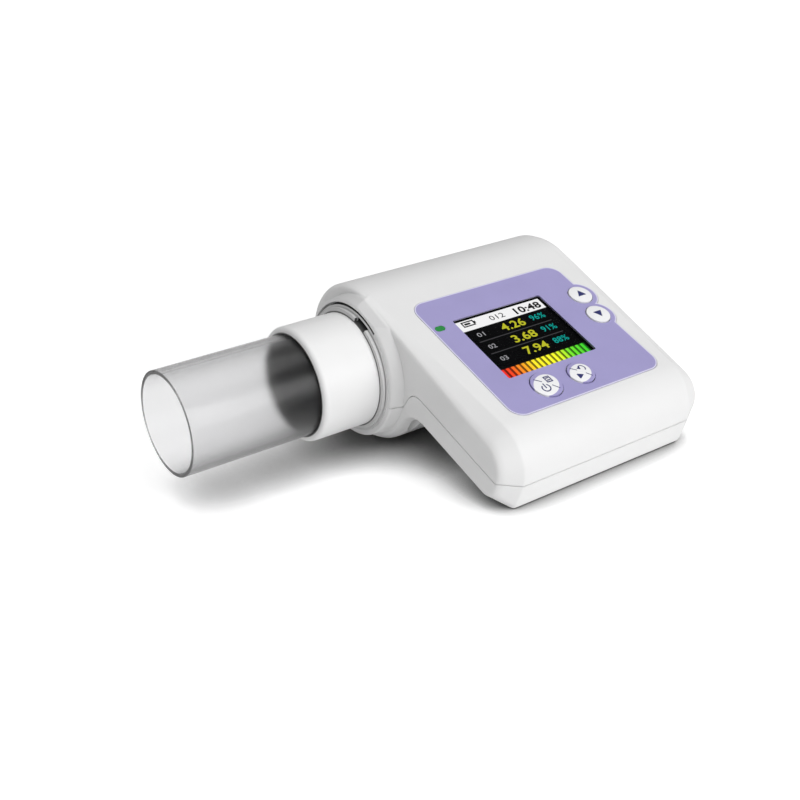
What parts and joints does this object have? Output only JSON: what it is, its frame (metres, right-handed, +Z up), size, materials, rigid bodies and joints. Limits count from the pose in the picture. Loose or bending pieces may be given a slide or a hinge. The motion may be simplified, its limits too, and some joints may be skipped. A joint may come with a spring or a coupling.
{
  "type": "spirometer",
  "caption": "Handheld turbine spirometer: sloping screen panel with round keys, barrel with twist-in turbine, collar and clear mouthpiece tube.",
  "frame": {"origin": "centre of the footprint of the whole object, on the surface it stands on", "axes": "+X along the turbine axis from the mouthpiece to the air outlet, +Z up, -Y towards the user, where the panel falls"},
  "size_m": [0.1402, 0.0934, 0.0462],
  "materials": {
    "white_shell": "glossy moulded white plastic",
    "white_key": "glossy white key cap with printed symbols",
    "white_liner": "satin moulded white plastic",
    "white_collar": "glossy moulded white plastic",
    "lavender_overlay": "satin printed membrane",
    "clear_window": "clear polished plastic",
    "clear_tube": "clear polished plastic",
    "smoky_tube": "clear smoky plastic",
    "black_module": "black screen glass and plastic",
    "black_foam": "closed-cell foam",
    "green_lens": "translucent green plastic",
    "green_board": "solder mask on a circuit board",
    "bright_metal": "bright steel",
    "screw_steel": "zinc plated steel",
    "cell_foil": "foil pouch",
    "dark_sensor": "dark infrared plastic",
    "clear_sensor": "clear plastic",
    "amber_flex": "amber film circuit",
    "bearing_plastic": "hard plastic",
    "black_vane": "black plastic"
  },
  "bodies": {
    "housing": {"upper_shell": "white_shell", "lower_shell": "white_shell", "housing_screws": "screw_steel", "board_screws": "screw_steel", "panel_overlay": "lavender_overlay", "display_window": "clear_window", "display_module": "black_module", "display_gasket": "black_foam", "indicator_lens": "green_lens", "main_board": "green_board", "key_switches": "black_module", "usb_socket": "bright_metal", "battery": "cell_foil", "battery_pad": "black_foam", "socket_liner": "white_liner", "ir_receivers": "dark_sensor", "ir_emitters": "clear_sensor", "sensor_flex": "amber_flex"},
    "turbine_head": {"turbine_collar": "white_collar", "turbine_tube": "clear_tube", "inlet_swirler": "white_liner", "outlet_swirler": "white_liner", "spindle_bearings": "bearing_plastic", "retaining_ring": "bright_metal"},
    "rotor": {"rotor_vane": "black_vane", "rotor_spindle": "bright_metal"},
    "mouthpiece_body": {"mouthpiece": "smoky_tube"},
    "key_up_body": {"key_up": "white_key"},
    "key_down_body": {"key_down": "white_key"},
    "key_power_body": {"key_power": "white_key"},
    "key_menu_body": {"key_menu": "white_key"}
  },
  "joints": [
    {"name": "turbine_twist", "type": "hinge", "parent": "housing", "child": "turbine_head", "pos_m": [-0.00933, 0.01909, 0.02362], "axis": [1, 0, 0], "range_deg": [-40, 0]},
    {"name": "rotor_spin", "type": "hinge", "parent": "turbine_head", "child": "rotor", "pos_m": [0.01707, 0.01909, 0.02362], "axis": [1, 0, 0], "continuous": true},
    {"name": "mouthpiece_pull", "type": "slide", "parent": "turbine_head", "child": "mouthpiece_body", "axis": [-1, 0, 0], "range_m": [0, 0.025]},
    {"name": "key_up_press", "type": "slide", "parent": "housing", "child": "key_up_body", "axis": [0, 0.3567, -0.9342], "range_m": [0, 0.0006], "stiffness_N_per_m": 1200},
    {"name": "key_down_press", "type": "slide", "parent": "housing", "child": "key_down_body", "axis": [0, 0.3567, -0.9342], "range_m": [0, 0.0006], "stiffness_N_per_m": 1200},
    {"name": "key_power_press", "type": "slide", "parent": "housing", "child": "key_power_body", "axis": [0, 0.3567, -0.9342], "range_m": [0, 0.0006], "stiffness_N_per_m": 1200},
    {"name": "key_menu_press", "type": "slide", "parent": "housing", "child": "key_menu_body", "axis": [0, 0.3567, -0.9342], "range_m": [0, 0.0006], "stiffness_N_per_m": 1200}
  ]
}
